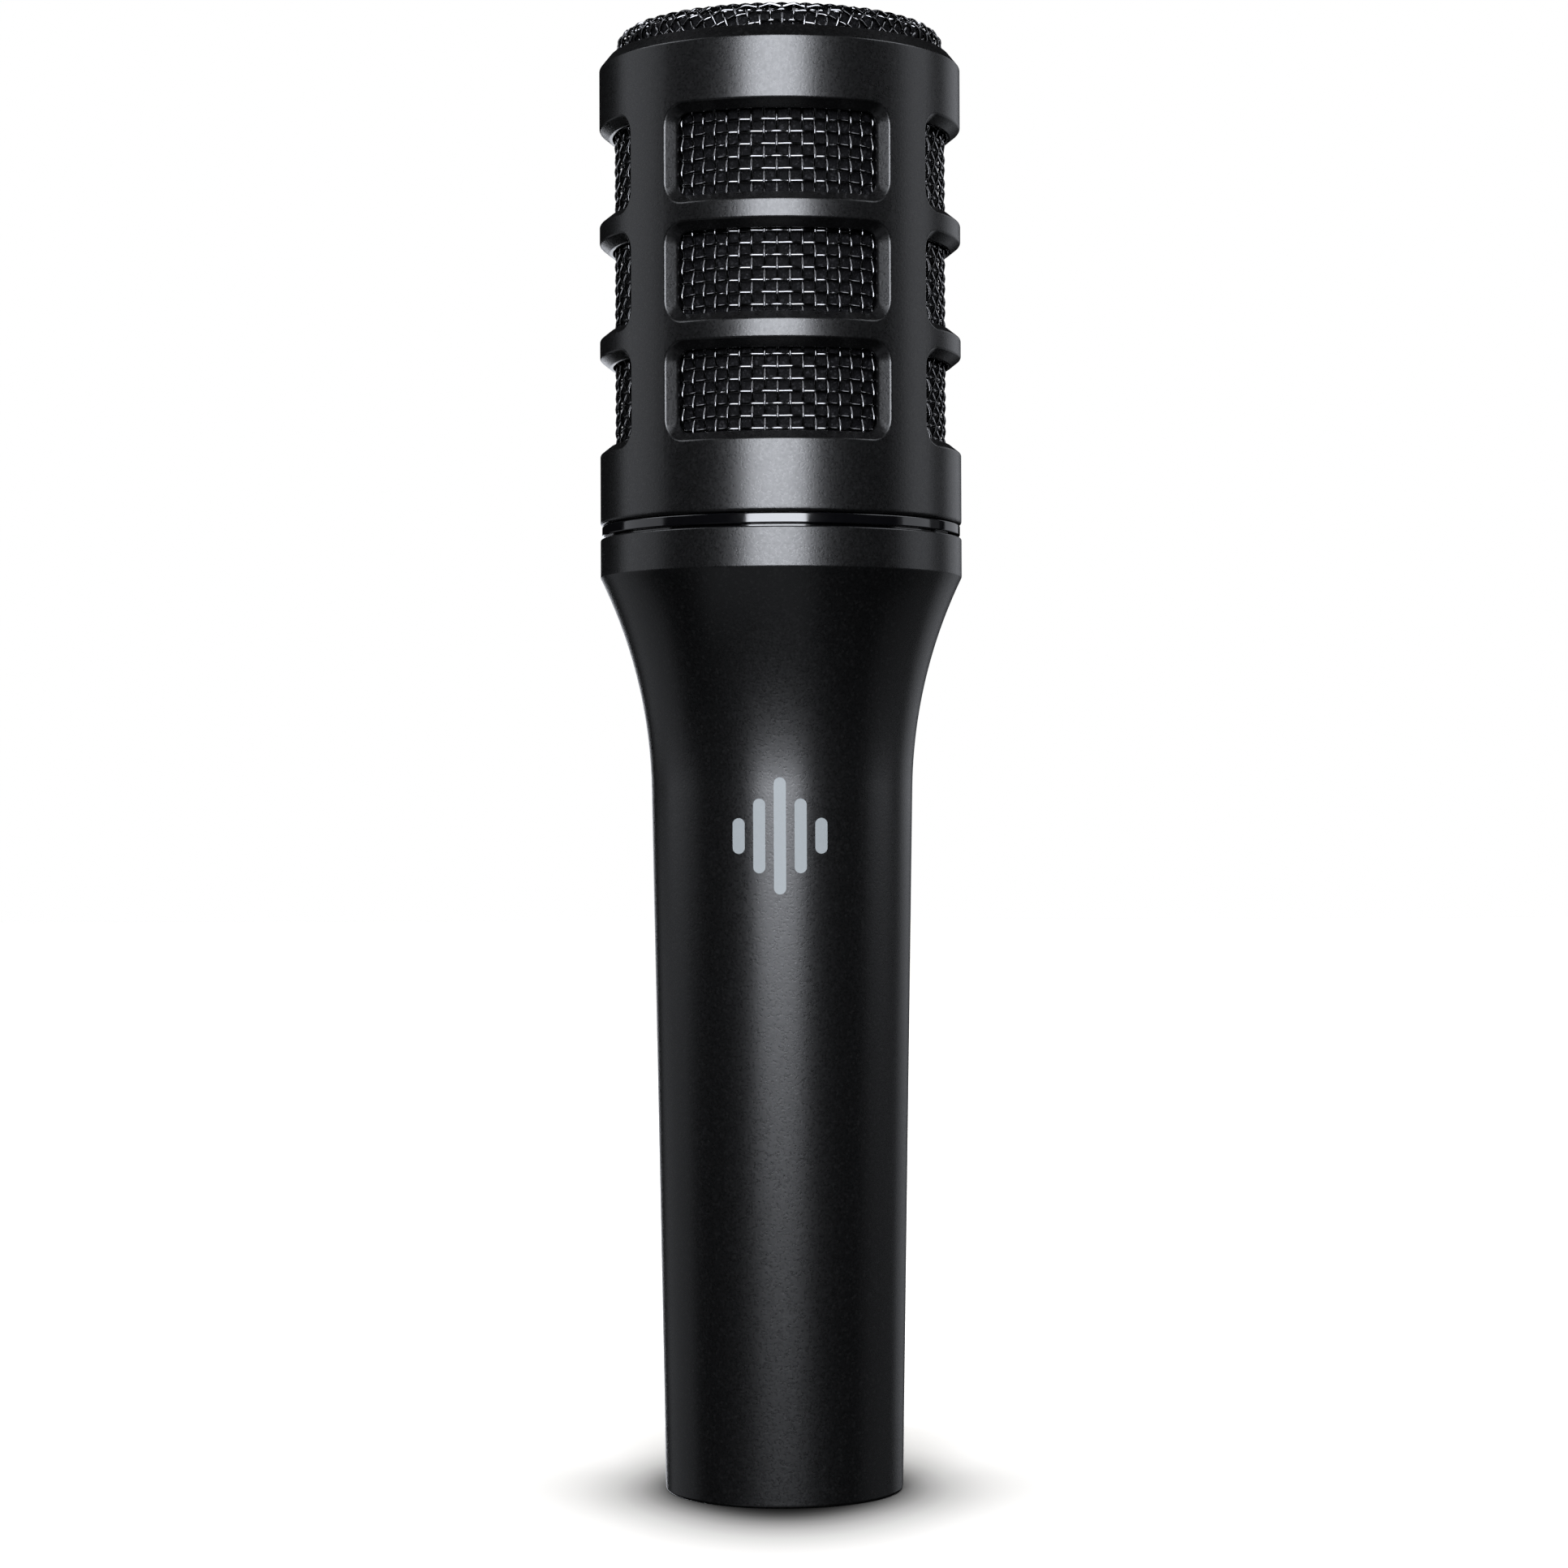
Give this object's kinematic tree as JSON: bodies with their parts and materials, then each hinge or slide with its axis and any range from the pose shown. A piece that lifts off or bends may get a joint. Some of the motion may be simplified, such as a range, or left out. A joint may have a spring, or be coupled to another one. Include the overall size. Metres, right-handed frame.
{
  "type": "handheld dynamic microphone",
  "caption": "Handheld microphone with a windowed cage over woven mesh, a trim ring, a flared tapered handle and a pin connector in its base; the head unscrews.",
  "frame": {"origin": "centre of the flat base at the connector end", "axes": "+Z along the microphone from the base to the domed mesh, -Y towards the printed front, +X to the right when the front is seen"},
  "size_m": [0.046, 0.046, 0.1875],
  "materials": {
    "black_powder_coat": "satin",
    "gloss_black": "gloss",
    "mesh_steel": "polished",
    "dark_foam": "matte",
    "black_plastic": "matte",
    "black_rubber": "matte",
    "thread_brass": "satin",
    "barrel_metal": "satin",
    "pin_plating": "polished",
    "plated_steel": "satin",
    "board_green": "satin",
    "red_insulation": "satin",
    "black_insulation": "satin",
    "print_grey": "matte",
    "capsule_aluminium": "satin",
    "felt": "matte",
    "magnet_steel": "satin",
    "magnet_alloy": "polished",
    "diaphragm_film": "gloss",
    "copper_wire": "satin"
  },
  "bodies": {
    "handle": {"handle": "black_powder_coat", "neck_ring": "thread_brass", "suspension_ring": "black_plastic", "shock_mount": "black_rubber", "cavity_foam": "dark_foam", "connector_shell": "barrel_metal", "connector_insert": "black_plastic", "pin_1": "pin_plating", "pin_2": "pin_plating", "pin_3": "pin_plating", "terminal_board": "board_green", "ground_strip": "plated_steel", "lock_screw": "plated_steel", "lead_hot": "red_insulation", "lead_cold": "black_insulation", "emblem": "print_grey"},
    "trim_ring": {"trim_ring": "gloss_black"},
    "head": {"head_cage": "black_powder_coat", "side_mesh": "mesh_steel", "top_mesh": "mesh_steel", "side_foam": "dark_foam", "top_foam": "dark_foam", "mesh_ring": "black_plastic"},
    "capsule": {"capsule_housing": "capsule_aluminium", "capsule_cap": "black_plastic", "rear_felt": "felt", "yoke": "magnet_steel", "magnet": "magnet_alloy", "pole_piece": "magnet_steel", "gap_plate": "magnet_steel", "diaphragm_ring": "thread_brass", "capsule_terminals": "pin_plating"},
    "diaphragm": {"diaphragm": "diaphragm_film", "voice_coil": "copper_wire"}
  },
  "joints": [
    {"name": "head_lift", "type": "slide", "parent": "handle", "child": "trim_ring", "axis": [0, 0, 1], "range_m": [0, 0.0065]},
    {"name": "head_turn", "type": "hinge", "parent": "trim_ring", "child": "head", "pos_m": [0, 0, 0.125], "axis": [0, 0, 1], "range_deg": [0, 2346]},
    {"name": "capsule_float", "type": "slide", "parent": "handle", "child": "capsule", "axis": [0, 0, 1], "range_m": [-0.0007, 0.0007], "stiffness_N_per_m": 8000, "deforming": ["shock_mount", "lead_hot", "lead_cold"]},
    {"name": "diaphragm_drive", "type": "slide", "parent": "capsule", "child": "diaphragm", "axis": [0, 0, 1], "range_m": [-0.0003, 0.0003], "stiffness_N_per_m": 1500}
  ],
  "couplings": [
    {"joint": "head_turn", "follows": "head_lift", "rad_per_m": 6283.2}
  ]
}
